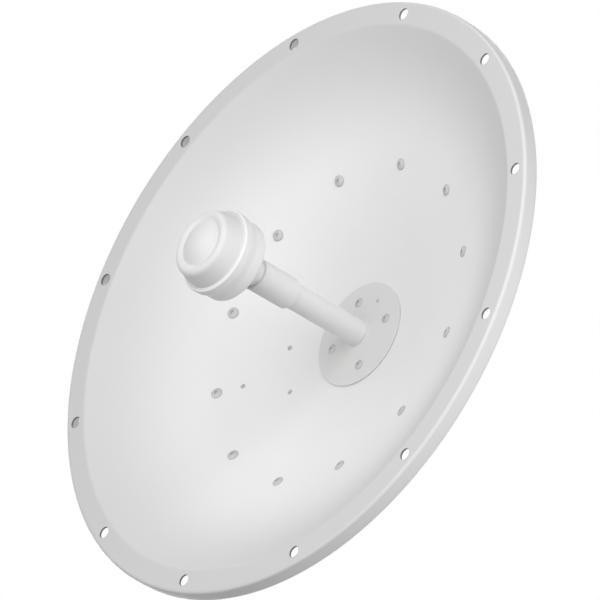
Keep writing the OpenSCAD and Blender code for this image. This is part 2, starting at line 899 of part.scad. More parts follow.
// Bent rod round the mast, with a threaded leg on each side
module u_bolt(side) {
    color("silver") on_axis() translate([0, side * clamp_y, -mast_b]) {
        rotate([-90, 0, 0])
            rotate_extrude(angle = 180)
                translate([leg_x, 0])
                    circle(d = bolt_d);
        both_sides() translate([leg_x, 0, 0]) rod(bolt_d, 0, mast_b - leg_end_b);
    }
}

module upper_u_bolt() {
    u_bolt(1);
}

module lower_u_bolt() {
    u_bolt(-1);
}

module clamp_washers() {
    color("silver") on_axis() leg_pattern() translate([0, 0, -web_b]) washer(bolt_d);
}

module clamp_nuts() {
    color("silver") on_axis() leg_pattern() translate([0, 0, washer_t(bolt_d) - web_b]) nut(bolt_d);
}

reflector();
drain_plugs();
back_pan();
pan_screws();
pan_nuts();
feed_flange();
flange_gasket();
flange_screws();
clamp_plate();
flange_nuts();
index_pin();
feed_tube();
feed_sleeve();
tube_plug();
coax_lines();
cup_stop();
feed_cup();
cup_nut();
cap_seal();
feed_cap();
dipole_post();
dipole_board();
splash_plate();
rf_ports();
port_insulators();
port_contacts();
port_seals();
port_nuts();
tilt_bracket();
bracket_bolts();
bracket_washers();
bracket_nuts();
pole_bracket();
upper_saddle();
lower_saddle();
pivot_bolts();
pivot_washers();
pivot_nuts();
lock_bolts();
lock_washers();
lock_nuts();
upper_u_bolt();
lower_u_bolt();
clamp_washers();
clamp_nuts();
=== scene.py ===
import json
import math

import bmesh
import bpy
import numpy as np
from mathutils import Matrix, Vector
from mathutils.geometry import delaunay_2d_cdt


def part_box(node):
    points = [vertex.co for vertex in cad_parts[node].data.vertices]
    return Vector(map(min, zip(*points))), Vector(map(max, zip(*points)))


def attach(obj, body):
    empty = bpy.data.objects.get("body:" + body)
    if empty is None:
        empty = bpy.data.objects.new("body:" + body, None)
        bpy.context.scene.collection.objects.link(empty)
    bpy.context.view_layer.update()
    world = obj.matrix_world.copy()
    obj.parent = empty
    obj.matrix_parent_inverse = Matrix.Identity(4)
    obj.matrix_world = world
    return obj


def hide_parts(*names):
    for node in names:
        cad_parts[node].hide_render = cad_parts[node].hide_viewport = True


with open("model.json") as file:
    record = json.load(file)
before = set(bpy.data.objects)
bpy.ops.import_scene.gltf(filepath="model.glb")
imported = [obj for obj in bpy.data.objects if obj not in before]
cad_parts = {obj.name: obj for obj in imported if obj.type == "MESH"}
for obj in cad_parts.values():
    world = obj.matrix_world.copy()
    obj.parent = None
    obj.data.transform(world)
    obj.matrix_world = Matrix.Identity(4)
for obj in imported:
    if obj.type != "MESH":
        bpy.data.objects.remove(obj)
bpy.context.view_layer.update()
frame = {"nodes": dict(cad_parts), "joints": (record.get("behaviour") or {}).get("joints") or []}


# Reflector. One disc of steel sheet, spun into a paraboloid with a flat seat in the middle, a flat
# drilled rim and a lip turned back round the edge. It is powder coated white, and the ring of
# button-head screws pulls it down on the pan behind it.
mm = 0.001
dish_low, dish_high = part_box("reflector")
dish_r = dish_high.x
focal = 229 * mm
sheet_t = 2 * mm
rim_w = 25.5 * mm
lip_depth, lip_bend = 17 * mm, 3.5 * mm
seat_r = 58 * mm
seat_blend, rim_blend = 0.3 * mm, 1.2 * mm
centre_hole_r = 17.85 * mm
rim_hole_count, rim_hole_r, rim_hole_at = 12, 6.25 * mm, dish_r - 14 * mm
drain_r = 2.75 * mm
drains = np.array([[-93.5, 27], [-93.5, -27], [-147, 0]]) * mm


def bowl_height(r):
    """Height of the paraboloid at radius r: r squared over four focal lengths."""
    return r * r / (4 * focal)


aperture_r = dish_r - rim_w
rim_z, seat_z = bowl_height(aperture_r), bowl_height(seat_r)
vertex_y = dish_low.y + rim_z


def ahead(directions):
    """Directions given as across, up and forward, in the object's axes: the beam is -Y."""
    across, up, forward = np.moveaxis(np.asarray(directions, float), -1, 0)
    return np.stack([across, -forward, up], -1)


def on_beam(points):
    """Points given as across, up and forward of the dish's vertex, where the dish stands."""
    return ahead(points) + np.array([0, vertex_y, 0])


def beam_box(node):
    """Rear and front of a CAD node along the beam, from the dish's vertex, and its radius."""
    low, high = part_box(node)
    return vertex_y - high.y, vertex_y - low.y, high.x


def around(count):
    """Angles that share a full turn evenly."""
    return np.arange(count) * 2 * math.pi / count


def polar(r, turn):
    """Points in a plane at a radius and an angle: radius times cosine, radius times sine."""
    return np.stack([r * np.cos(turn), r * np.sin(turn)], -1)


def unit(rows):
    """Vectors over their own lengths."""
    return rows / np.linalg.norm(rows, axis=-1, keepdims=True)


def with_last(rows, value):
    """Rows of numbers with one more at the end: the same in all, or each row its own."""
    return np.column_stack([rows, np.full(len(rows), value)])


def face_height(r):
    """Height of the dish's face at radius r: the paraboloid, no lower than the seat and no higher
    than the rim. Each change is rounded by the square of the nearness."""
    height = bowl_height(r)
    for level, side, blend in ((seat_z, 1, seat_blend), (rim_z, -1, rim_blend)):
        near = np.maximum(blend - np.abs(height - level), 0)
        height = side * (np.maximum(side * height, side * level) + near**2 / (4 * blend))
    return height


def face_slope(r):
    """Slope of the face, from the heights a little inside and a little outside r."""
    step = 0.02 * mm
    return (face_height(r + step) - face_height(r - step)) / (2 * step)


def strips(ids):
    """Quads between neighbouring rows of a table of point numbers, each row closed on itself."""
    beside = np.roll(ids, -1, axis=1)
    return np.stack([ids[:-1], beside[:-1], beside[1:], ids[1:]], -1).reshape(-1, 4)


def ringed(radii, heights, sides):
    """Solid of stacked rings, the last joined to the first. A ring's radius and its height are one
    number each, or one for every angle. Point = (radius cos angle, radius sin angle, height)."""
    radii, heights = (np.array([np.broadcast_to(row, sides) for row in rows], float)
                      for rows in (radii, heights))
    points = np.dstack([polar(radii, around(sides)), heights])
    ids = np.arange(radii.size).reshape(radii.shape)
    return points.reshape(-1, 3), strips(np.vstack([ids, ids[:1]]))


def punched_net(radii, sides, holes):
    """Plan of a round sheet: rings and spokes, with the block of cells round each hole swapped for
    rings from the edge of the block in to the hole. Gives points, quads, and the numbers of the
    points round each hole, on the innermost ring and on the outermost."""
    step = 2 * math.pi / sides
    plan = polar(radii[:, None], around(sides)).reshape(-1, 2)
    ids = np.arange(len(plan)).reshape(-1, sides)
    whole = np.ones((len(radii) - 1, sides), bool)
    points, quads, edges = [plan], [], []
    count = len(plan)
    share = np.array([0, 0.12, 0.45])[:, None, None]
    for x, y, hole_r in holes:
        r, angle, margin = math.hypot(x, y), math.atan2(y, x), 1.3 * hole_r
        low = np.searchsorted(radii, r - margin, "right") - 1
        high = np.searchsorted(radii, r + margin)
        first, last = (angle - margin / r) / step, (angle + margin / r) / step
        spoke = np.arange(math.floor(first), math.ceil(last) + 1) % sides
        whole[low:high, spoke[:-1]] = False
        edge = np.hstack([ids[low, spoke[:-1]], ids[low:high, spoke[-1]],
                               ids[high, spoke[:0:-1]], ids[high:low:-1, spoke[0]]])
        circle = (x, y) + hole_r * unit(plan[edge] - (x, y))
        rings = circle * (1 - share) + plan[edge] * share
        numbers = np.vstack([count + np.arange(rings.size // 2).reshape(len(share), -1), edge])
        points.append(rings.reshape(-1, 2))
        quads.append(strips(numbers))
        edges.append(numbers[0])
        count += len(points[-1])
    quads.append(strips(ids)[whole.reshape(-1)])
    return np.vstack(points), np.vstack(quads), edges, ids[0], ids[-1]


def linear(code, alpha=1.0):
    """An sRGB hex colour as linear red, green, blue and alpha."""
    srgb = np.array([int(code[i:i + 2], 16) for i in (1, 3, 5)]) / 255
    return (*np.where(srgb <= 0.04045, srgb / 12.92, ((srgb + 0.055) / 1.055)**2.4), alpha)


def add(finish, kind, inputs=(), **settings):
    """Adds a shader node to a finish, with its settings, and sets or links each input named."""
    tree = finish.node_tree
    node = tree.nodes.new("ShaderNode" + kind)
    for name, value in settings.items():
        setattr(node, name, value)
    for name, value in dict(inputs).items():
        if isinstance(value, bpy.types.NodeSocket):
            tree.links.new(value, node.inputs[name])
        else:
            node.inputs[name].default_value = value
    return node


def started(name):
    """A new material with one node, and the object coordinates that the node gives."""
    finish = bpy.data.materials.new(name)
    finish.use_nodes = True
    finish.node_tree.nodes.clear()
    return finish, add(finish, "TexCoord").outputs["Object"]


def noise(finish, place, width, detail, roughness=0.5):
    """Noise with patches about as wide as given: its scale is one over the width."""
    return add(finish, "TexNoise", {
        "Vector": place, "Scale": 1 / width, "Detail": detail, "Roughness": roughness})


def mixed(finish, share, first, second):
    """Colour between two others, by a share."""
    inputs = {0: share, 6: first, 7: second}
    return add(finish, "Mix", inputs, data_type="RGBA").outputs[2]


def ranged(finish, value, low, high, start=0.0, end=1.0, **settings):
    """Value carried from the range between start and end to the one between low and high."""
    return add(finish, "MapRange", {
        "Value": value, "From Min": start, "From Max": end, "To Min": low, "To Max": high},
        **settings).outputs["Result"]


def worked(finish, operation, first, second):
    """Value of two others put together by an operation."""
    return add(finish, "Math", {0: first, 1: second}, operation=operation).outputs[0]


def span(finish, vector):
    """Length of a vector."""
    return add(finish, "VectorMath", {0: vector}, operation="LENGTH").outputs["Value"]


def surfaced(finish, tint, rough, shader=(), bumps=None, strength=0.0, depth=0.0):
    """Ends a finish with its shader: a colour, a roughness, other inputs, and bumps of a depth."""
    inputs = {"Base Color": tint, "Roughness": rough, **dict(shader)}
    if bumps is not None:
        inputs["Normal"] = add(finish, "Bump", {
            "Height": bumps, "Strength": strength, "Distance": depth}).outputs["Normal"]
    shade = add(finish, "BsdfPrincipled", inputs)
    add(finish, "OutputMaterial", {"Surface": shade.outputs["BSDF"]})
    return finish


def clouded(name, low, high, cloud, rough, shader=(), grain=None, bump=()):
    """A finish from low to high shade by a cloud: a noise's width, detail and roughness. Its own
    roughness is one value, or two that go with the shades. A grain is a second noise, and its bump
    has a strength and a depth."""
    finish, place = started(name)
    share = noise(finish, place, *cloud).outputs["Fac"]
    tint = mixed(finish, share, linear(low), linear(high))
    rough = ranged(finish, share, *rough) if isinstance(rough, tuple) else rough
    bumps = noise(finish, place, *grain).outputs["Fac"] if grain else None
    return surfaced(finish, tint, rough, shader, bumps, *bump)


def powder(name, low, high):
    """A powder coat between two near shades: a fine orange peel, drawn about 3 mm wide so that it
    shows, and a sheen that varies over some 90 mm."""
    return clouded(name, low, high, (90 * mm, 3.0, 0.55), (0.46, 0.6), {"Specular IOR Level": 0.2},
                   (3 * mm, 2.0, 0.4), (0.12, 0.05 * mm))


# White polyester powder coat, baked on steel: an even white with a soft sheen. On the dish
# the white is painted greyer outward to the flat rim, which is painted shade, and the lip keeps
# half of that grey, which is painted light; the walls of the drilled rim holes are painted dark
# grey, which is painted shade.
coat_shades, painted_rim_shade, painted_hole_shade = ("#E9E9E8", "#EEEEEF"), "#D5D5D5", "#78797A"
rim_shade_from, lip_from, lip_to, lip_share = 185 * mm, dish_r - 2.7 * mm, dish_r - 2.1 * mm, 0.5
hole_shade_to, hole_shade_fade_to = rim_hole_r + 0.1 * mm, rim_hole_r + 0.3 * mm
powder_coat = powder("white_powder_coat", *coat_shades)
dish_coat = powder("white_powder_coat_painted_shade", *coat_shades)
place = add(dish_coat, "TexCoord").outputs["Object"]
across = add(dish_coat, "VectorMath", {0: place, 1: (1, 0, 1)}, operation="MULTIPLY")
out = span(dish_coat, across.outputs[0])
# Painted shade: the white greys from 185 mm out to the aperture and stays grey over the rim.
thin = ranged(dish_coat, out, 0.0, 1.0, rim_shade_from, aperture_r, interpolation_type="SMOOTHSTEP")
# Painted light: the lip keeps only half of that grey, so it reads lighter than the rim.
thin = worked(dish_coat, "MULTIPLY", thin, ranged(dish_coat, out, 1.0, lip_share, lip_from, lip_to))
# Painted shade: the walls of the rim holes are painted dark grey.
axes = add(dish_coat, "SeparateXYZ", {0: place}).outputs
turn = worked(dish_coat, "ARCTAN2", axes["Z"], axes["X"])
fold = worked(dish_coat, "PINGPONG", turn, math.pi / rim_hole_count)
aside = worked(dish_coat, "MULTIPLY", fold, rim_hole_at)
beyond = worked(dish_coat, "SUBTRACT", out, rim_hole_at)
apart = add(dish_coat, "CombineXYZ", {"X": aside, "Y": beyond})
hole_shading = ranged(dish_coat, span(dish_coat, apart.outputs[0]), 1.0, 0.0, hole_shade_to, hole_shade_fade_to)
dish_tint = dish_coat.node_tree.nodes["Principled BSDF"].inputs["Base Color"]
rim_shaded = mixed(dish_coat, thin, dish_tint.links[0].from_socket, linear(painted_rim_shade))
dish_coat.node_tree.links.new(mixed(dish_coat, hole_shading, rim_shaded, linear(painted_hole_shade)), dish_tint)


def solid(name, shape, body, node, slot, finish, crease=33):
    """Makes a piece from points and faces: doubles merged at poles and seams, faces turned outward,
    smooth but for edges sharper than the crease. It rides on a body in place of its CAD node."""
    points, faces = shape
    mesh = bpy.data.meshes.new(name)
    mesh.from_pydata(points.tolist(), [], faces if isinstance(faces, list) else faces.tolist())
    work = bmesh.new()
    work.from_mesh(mesh)
    bmesh.ops.remove_doubles(work, verts=work.verts, dist=0.002 * mm)
    bmesh.ops.recalc_face_normals(work, faces=work.faces)
    work.to_mesh(mesh)
    work.free()
    mesh.shade_smooth()
    mesh.set_sharp_from_angle(angle=math.radians(crease))
    mesh.materials.append(finish)
    piece = bpy.data.objects.new(name, mesh)
    bpy.context.scene.collection.objects.link(piece)
    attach(piece, body)
    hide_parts(node)


dish_sides = 480
near_drain = np.array([-5.2, -2.6, 0, 2.6, 5.2]) * mm
drain_rows = np.hstack([near_drain + math.hypot(*at) for at in drains[1:]])
bowl_rows = np.linspace(seat_r + 2 * mm, aperture_r - 4 * mm, 26)
bowl_rows = bowl_rows[np.abs(bowl_rows[:, None] - drain_rows).min(1) > 2 * mm]
radii = np.unique(np.hstack([
    [centre_hole_r, 30 * mm, 45 * mm], seat_r + np.array([-1.5, 0, 1.5]) * mm, bowl_rows,
    drain_rows, aperture_r + np.linspace(-2.4, 2.2, 8) * mm,
    rim_hole_at + np.linspace(-8.5, 8.5, 9) * mm, [dish_r - lip_bend]]))
rim_holes = with_last(polar(rim_hole_at, around(rim_hole_count)), rim_hole_r)
plan, net, hole_edges, inner_edge, outer_edge = punched_net(
    radii, dish_sides, np.vstack([rim_holes, with_last(drains, drain_r)]))
plan_r = np.hypot(*plan.T)
face = with_last(plan, face_height(plan_r))
back = face - sheet_t * unit(with_last(-plan * (face_slope(plan_r) / plan_r)[:, None], 1))
swing, tip = np.linspace(0, math.pi / 2, 7), np.linspace(0, math.pi, 5)
inner_bend = lip_bend - sheet_t
lip_rows = np.array([4, 8, 13]) * mm
lip_r = dish_r - np.hstack([
    lip_bend * (1 - np.sin(swing[1:])), [0] * 3, sheet_t / 2 * (1 - np.cos(tip)), [sheet_t] * 3,
    lip_bend - inner_bend * np.sin(swing[:0:-1])])
lip_z = rim_z - np.hstack([
    lip_bend * (1 - np.cos(swing[1:])), lip_rows, lip_depth - sheet_t / 2 * (1 - np.sin(tip)),
    lip_rows[::-1], lip_bend - inner_bend * np.cos(swing[:0:-1])])
lip = ringed(lip_r, lip_z, dish_sides)[0]
count = len(face)
lip_ids = 2 * count + np.arange(len(lip)).reshape(-1, dish_sides)
lip_ids = np.vstack([outer_edge, lip_ids, outer_edge + count])
walls = [strips(np.vstack([edge, edge + count])) for edge in [*hole_edges, inner_edge]]
dish_quads = np.vstack([net, net[:, ::-1] + count, strips(lip_ids), *walls])
solid("dish_reflector", (on_beam(np.vstack([face, back, lip])), dish_quads),
      "dish", "reflector", "white_coat", dish_coat)


# Back pan. A pressed steel pan that stiffens the dish and carries the mount: a flange that lies
# on the back of the bowl, a cone, and a flat plate with a bore for the boom's tail. Galvanised.
pan_back_z = beam_box("back_pan")[0]
pan_t = 2.5 * mm
pan_z = pan_back_z + pan_t
pan_gap = 0.15 * mm
pan_sheared = 0.6 * mm
pan_plate_r, pan_bore_r = 91.83 * mm, 20 * mm
pan_flange_w = 28 * mm
turned_sides = 240
screw_ring_r = 174.5 * mm


def rounded(corners, steps=6):
    """Closed outline with round corners. Each row is a corner's two coordinates and bend radius. An
    arc starts at the radius over the tangent of half the corner's angle, and turns from the one
    side's normal to the other's. A point just past each end of an arc keeps the flat sides flat."""
    corners = np.asarray(corners, float)
    here, bend = corners[:, :2], corners[:, 2:]
    to_next = np.roll(here, -1, 0) - here
    length = np.linalg.norm(to_next, axis=1, keepdims=True)
    on = to_next / length
    back = -np.roll(on, 1, 0)
    half = np.arccos(np.clip((back * on).sum(1, keepdims=True), -1, 1)) / 2
    reach = bend / np.tan(half)
    free = np.maximum(length - reach - np.roll(reach, -1, 0), 0)
    centre = here + unit(back + on) * bend / np.sin(half)
    start, end = here + back * reach - centre, here + on * reach - centre
    turn = np.maximum(math.pi - 2 * half, 1e-6)
    share = np.linspace(0, 1, steps + 1)
    arc = (np.sin((1 - share) * turn)[..., None] * start[:, None]
           + np.sin(share * turn)[..., None] * end[:, None]) / np.sin(turn)[..., None]
    past = 0.3
    first = here + back * (reach + past * np.minimum(bend, np.roll(free, 1, 0)))
    last = here + on * (reach + past * np.minimum(bend, free))
    path = np.hstack([first[:, None], centre[:, None] + arc, last[:, None]]).reshape(-1, 2)
    apart = np.linalg.norm(path - np.roll(path, 1, 0), axis=1) > 0.003 * mm
    return path[apart]


def moved_in(path, by, closed=True):
    """A path moved to its left, each point by the distance times the sum of the normals of its two
    sides over one plus their product. At the ends of an open path both sides are the same."""
    side = unit(np.roll(path, -1, 0) - path)
    after = np.column_stack([-side[:, 1], side[:, 0]])
    before = np.roll(after, 1, 0)
    if not closed:
        after[-1], before[0] = before[-1], after[0]
    return path + by * (after + before) / np.maximum(1 + (before * after).sum(1), 0.5)[:, None]


def turned(corners, sides, steps=6):
    """Solid turned from an outline: each row is a corner's radius, height and bend radius."""
    return ringed(*rounded(corners, steps).T, sides)


def beam_piece(name, shape, node, slot, finish, crease=33):
    """Makes a piece of the dish from a shape that is turned about the beam."""
    points, quads = shape
    solid(name, (on_beam(points), quads), "dish", node, slot, finish, crease)


# Hot-dip galvanised steel: a matt grey zinc skin frozen into spangles about 9 mm across, each with
# its own shade and gloss, over a faint ripple where the zinc ran.
galvanised, place = started("hot_dip_galvanised_steel")
ripple = noise(galvanised, place, 14 * mm, 4.0, 0.6)
bent = add(galvanised, "VectorMath", {0: ripple.outputs["Color"], "Scale": 5 * mm},
           operation="SCALE")
moved = add(galvanised, "VectorMath", {0: place, 1: bent.outputs[0]}, operation="ADD")
spangle = add(galvanised, "TexVoronoi", {"Vector": moved.outputs[0], "Scale": 1 / (9 * mm)})
shares = add(galvanised, "SeparateColor", {"Color": spangle.outputs["Color"]}).outputs
surfaced(galvanised, mixed(galvanised, shares[0], linear("#8A8F92"), linear("#A9ADAF")),
         ranged(galvanised, shares[1], 0.45, 0.66), {"Metallic": 0.6},
         ripple.outputs["Fac"], 0.25, 0.2 * mm)

screw_lean = math.atan(screw_ring_r / (2 * focal))
along = polar(1.0, screw_lean)
flange_down = polar(1.0, screw_lean - math.pi / 2)
pan_seat = np.array([screw_ring_r, bowl_height(screw_ring_r)]) + (sheet_t + pan_gap) * flange_down
pan_top = np.array([pan_seat + along * pan_flange_w / 2, pan_seat - along * pan_flange_w / 2,
                    [pan_plate_r, pan_z], [pan_bore_r, pan_z]])
pan_under = moved_in(pan_top, pan_t, closed=False)
pan_bends = [pan_sheared, 8 * mm, 8 * mm, pan_sheared, pan_sheared, 10 * mm, 5.5 * mm, pan_sheared]
pan_shape = turned(with_last(np.vstack([pan_top, pan_under[::-1]]), pan_bends), turned_sides)
beam_piece("back_pan_pressing", pan_shape, "back_pan", "galvanised_steel", galvanised)


# Ring screws. Twelve M6 button-head screws of stainless steel, each with a hexagon recess, pass
# through the dish and the pan. A nut on each, behind the pan, holds the two together.
ring_count, ring_screw_d = 12, 6 * mm
nut_share, corner_share, flat_share, bolt_sides = 0.8, 0.935, 0.97, 48
thread_spare = 2 * mm


def hexagon(corner_r, sides):
    """Radius of a hexagon at each angle: a flat's distance over the cosine of the angle from it."""
    return corner_r * math.cos(math.pi / 6) / np.cos((around(sides) % (math.pi / 3)) - math.pi / 6)


def button_screw(d, length, sides=bolt_sides):
    """Button-head screw, underside of the head at height 0: a shank, a short upright edge, a crown
    that is part of a ball, and a hexagon recess with a coned floor."""
    r, h = d, 0.4 * d
    crown = 0.7 * h
    ball = (r * r + crown * crown) / (2 * crown)
    six = hexagon(0.36 * d, sides)
    slope = np.linspace(r - 0.02 * d, 0.46 * d, 6)
    on_crown = h - ball + np.sqrt(ball**2 - slope**2)
    mouth = h - ball + np.sqrt(ball**2 - six**2)
    return ringed(
        [0, 0.42 * d, 0.5 * d, 0.5 * d, r - 0.03 * d, r, r, *slope, six + 0.03 * d, six, six, 0],
        [-length, -length, 0.08 * d - length, 0, 0, 0.03 * d, h - crown - 0.01 * d, *on_crown,
         mouth - 0.01 * d, mouth - 0.06 * d, 0.35 * h, 0.22 * h], sides)


def upright(r, turn):
    """Points at a radius and an angle from straight up: minus the sine and the cosine."""
    return r * np.stack([-np.sin(turn), np.cos(turn)], -1)


def on_bowl(r, turn):
    """Places on the bowl at radii and angles, with directions square to its face and round it. The
    face leans by the angle whose tangent is the radius over two focal lengths."""
    lean = np.arctan(r / (2 * focal))
    at = with_last(polar(r, turn), bowl_height(r))
    out = with_last(-polar(np.sin(lean), turn), np.cos(lean))
    return at, out, with_last(upright(1.0, turn), 0)


def seated(shape, at, out=(0, 0, 1), across=(1, 0, 0)):
    """Copies of a shape, one at each place, its height along a direction out and its first axis
    along one across. Each copy has its own directions, or all have the same."""
    points, quads = shape
    places = on_beam(at)
    out, across = (np.broadcast_to(ahead(way), places.shape) for way in (out, across))
    axes = np.stack([across, np.cross(out, across), out], 1)
    moved = places[:, None] + np.einsum("nj,kjc->knc", points, axes)
    numbers = quads[None] + (np.arange(len(places)) * len(points))[:, None, None]
    return moved.reshape(-1, 3), numbers.reshape(-1, quads.shape[1])


# Stainless steel, blasted with fine beads: a dull even grey with no bright highlight, a little
# darker in patches about 0.8 mm wide, painted shade of the dimples, drawn wide so that they show.
stainless = clouded("bead_blasted_stainless_steel", "#B0B1B2", "#C1C2C3", (0.8 * mm, 3.0, 0.6),
                    (0.64, 0.8), {"Metallic": 0.5})

ring_at, ring_out, ring_across = on_bowl(np.full(ring_count, screw_ring_r), around(ring_count))
ring_grip = sheet_t + 2 * pan_gap + pan_t + nut_share * ring_screw_d
solid("ring_screws", seated(button_screw(ring_screw_d, ring_grip + thread_spare),
                            ring_at + pan_gap * ring_out, ring_out, ring_across),
      "dish", "pan_screws", "screw_steel", stainless)


# Ring nuts. Twelve M6 hexagon nuts of zinc-plated steel behind the pan's flange, one on each ring
# screw. Their corners are chamfered at 30 degrees, as on any pressed and tapped nut.
def chamfered(corner_r, keep, sides):
    """Hexagon with its corners cut by a 30 degree cone: its radius at each angle, the radius of
    the flat face, which is a share of the distance to a side, and the depth of the cut."""
    six, flat = hexagon(corner_r, sides), corner_r * math.cos(math.pi / 6) * keep
    return six, flat, (six - flat) * math.tan(math.pi / 6)


def nut(corner_r, keep, h, bore, sink, sides):
    """Hexagon nut from height 0 up, chamfered at both faces, its bore slightly countersunk."""
    six, flat, cut = chamfered(corner_r, keep, sides)
    return ringed([flat, six, six, flat, bore + sink, bore, bore, bore + sink],
                  [0, cut, h - cut, h, h, h - sink, sink, 0], sides)


def hex_nut(d):
    """Hexagon nut in its usual proportions to the diameter of its thread."""
    return nut(corner_share * d, flat_share, nut_share * d, 0.5 * d, 0.08 * d, bolt_sides)


# Zinc plate with a clear passivate: bright steel grey with a faint blue cast, and cloudier patches
# some 6 mm wide where the film is thicker.
zinc_plate = clouded("zinc_plated_steel", "#94999D", "#B9BDBF", (6 * mm, 5.0, 0.65), (0.32, 0.48),
                     {"Metallic": 0.9})

solid("ring_nuts",
      seated(hex_nut(ring_screw_d), ring_at - ring_grip * ring_out, ring_out, ring_across),
      "dish", "pan_nuts", "zinc_steel", zinc_plate)


# Drain plugs. Three plugs of soft grey plastic, pushed into the drain holes from behind up to a
# collar. Their faces lie just under the face of the dish and show as small dull dots.
fit = 0.05 * mm
plug_r, collar_r = drain_r - fit, drain_r + 1.2 * mm
plug_face, collar_face, plug_back = -0.4 * mm, -sheet_t - 0.15 * mm, -sheet_t - 1.35 * mm
plug_shape = ringed(
    [0, collar_r - 0.3 * mm, collar_r, collar_r, collar_r - 0.2 * mm, plug_r, plug_r,
     plug_r - 0.4 * mm, 1.2 * mm, 0],
    [plug_back, plug_back, plug_back + 0.3 * mm, collar_face - 0.2 * mm, collar_face, collar_face,
     plug_face - 0.3 * mm, plug_face, plug_face - 0.1 * mm, plug_face - 0.25 * mm], 40)
# Soft moulded plastic: a dull mid grey, clouded at about 1.5 mm by the flow of the moulding.
soft_plastic = clouded("soft_grey_plastic", "#ADADAC", "#BBBBBA", (1.5 * mm, 3.0), 0.6)
drain_x, drain_y = drains.T
solid("drain_stoppers",
      seated(plug_shape, *on_bowl(np.hypot(drain_x, drain_y), np.arctan2(drain_y, drain_x))),
      "dish", "drain_plugs", "grey_plug", soft_plastic)


# Feed flange. A turned disc, coated with the dish, whose face rises very little to a small fillet
# round the boom. Four screws in shallow seats hold it on a gasket in the dish's seat.
tail_z, collar_z, flange_r = beam_box("feed_flange")
clearance = 0.3 * mm
boom_r = 13.5 * mm
flange_bore_r = boom_r + fit
spigot_r = 17.55 * mm
gasket_t = 0.5 * mm
edge_t = 1.6 * mm
flange_rise = 1 * mm
weld_r = flange_bore_r + 0.5 * mm
fillet_r = 1.5 * mm
flange_screw_d, flange_screw_at = 5 * mm, 38 * mm
pocket_r = flange_screw_d + clearance
flange_z = seat_z + gasket_t
flange_edge_z = flange_z + edge_t
cone_lean = math.atan(flange_rise / (flange_r - weld_r))


def cone_height(r):
    """Height of the flange's face: a straight rise from its edge to where it meets the boom."""
    return flange_edge_z + flange_rise * (flange_r - r) / (flange_r - weld_r)


pockets = with_last(polar(flange_screw_at, around(4)), pocket_r)
fillet_start = weld_r + fillet_r * math.tan((math.pi / 2 - cone_lean) / 2)
cone_rows = np.unique(np.hstack([
    [fillet_start, fillet_start + 0.8 * mm, 24 * mm], flange_screw_at + np.linspace(-8, 8, 9) * mm,
    [50 * mm, flange_r - 1.2 * mm, flange_r - 0.6 * mm]]))
plan, net, pocket_edges, fillet_edge, cone_edge = punched_net(cone_rows, turned_sides, pockets)
cone_face = with_last(plan, cone_height(np.hypot(*plan.T)))
sweep = cone_lean + (math.pi / 2 - cone_lean) * np.linspace(0, 1, 7)[1:]
fillet_centre_z = cone_height(fillet_start) + fillet_r * math.cos(cone_lean)
fillet_path = polar(fillet_r, -math.pi / 2 - sweep) + (weld_r + fillet_r, fillet_centre_z)
under = np.array([
    [flange_r - 0.25 * mm, flange_edge_z - 0.05 * mm], [flange_r, flange_edge_z - 0.35 * mm],
    [flange_r, flange_z + 0.2 * mm], [flange_r - 0.2 * mm, flange_z],
    [spigot_r + 0.3 * mm, flange_z], [spigot_r, flange_z - 0.3 * mm],
    [spigot_r, tail_z + 0.5 * mm], [spigot_r - 0.5 * mm, tail_z], [flange_bore_r, tail_z],
    [flange_bore_r, collar_z], [weld_r - 0.1 * mm, collar_z], *fillet_path[::-1]])
below = ringed(*under.T, turned_sides)[0]
count = len(cone_face)
ids = np.vstack([cone_edge, count + np.arange(len(below)).reshape(-1, turned_sides), fillet_edge])
points, quads = [cone_face, below], [net, strips(ids)]
count += len(below)
for (x, y, _), edge in zip(pockets, pocket_edges):
    floor_ring = with_last(cone_face[edge, :2], flange_edge_z)
    middle = np.full_like(floor_ring, (x, y, flange_edge_z))
    points += [floor_ring, (floor_ring + middle) / 2, middle]
    quads.append(strips(np.vstack([edge, count + np.arange(3 * len(edge)).reshape(3, -1)])))
    count += 3 * len(edge)
# The same coat over a turned face, painted a shade greyer than on the spun sheet, as painted shade.
flange_coat = powder("grey_white_powder_coat", "#DADAD9", "#DFDFDF")
beam_piece("boom_flange", (np.vstack(points), np.vstack(quads)), "feed_flange", "white_coat",
           flange_coat)


# Flange screws and index pin. Four M5 button-head screws in the counterbores, and a plain dowel
# between two of them that sets which way the feed is polarised.
clamp_plate_t = 2 * mm
flange_grip = flange_edge_z - seat_z + sheet_t + clamp_plate_t + nut_share * flange_screw_d
solid("flange_screws_m5", seated(
    button_screw(flange_screw_d, flange_grip + thread_spare),
    with_last(pockets[:, :2], flange_edge_z), across=with_last(polar(1.0, around(4)), 0)),
    "dish", "flange_screws", "screw_steel", stainless)

pin_low, pin_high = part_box("index_pin")
pin_r = (pin_high.x - pin_low.x) / 2
pin_at = (pin_low.x + pin_high.x) / 2, (pin_low.z + pin_high.z) / 2, 0
pin_foot, pin_top, _ = beam_box("index_pin")
points, quads = turned([[0, pin_foot, 0], [pin_r, pin_foot, 0.3 * mm], [pin_r, pin_top, 0.5 * mm],
                        [0, pin_top, 0]], 32)
beam_piece("index_dowel", (points + pin_at, quads), "index_pin", "screw_steel", stainless)


# Boom and sleeve. A drawn tube pressed into the flange, coated white with it, and a turned sleeve
# shrunk on the tube, chamfered at its rear, which balances the match of the feed.
boom_tail, boom_end, _ = beam_box("feed_tube")
boom_bore_r, boom_sides = boom_r - 1.5 * mm, 160
beam_piece("boom_tube", turned([
    [boom_bore_r, boom_tail, 0.2 * mm], [boom_r, boom_tail, 0.3 * mm], [boom_r, boom_end, 0.3 * mm],
    [boom_bore_r, boom_end, 0.2 * mm]], boom_sides, 3), "feed_tube", "white_coat", powder_coat)

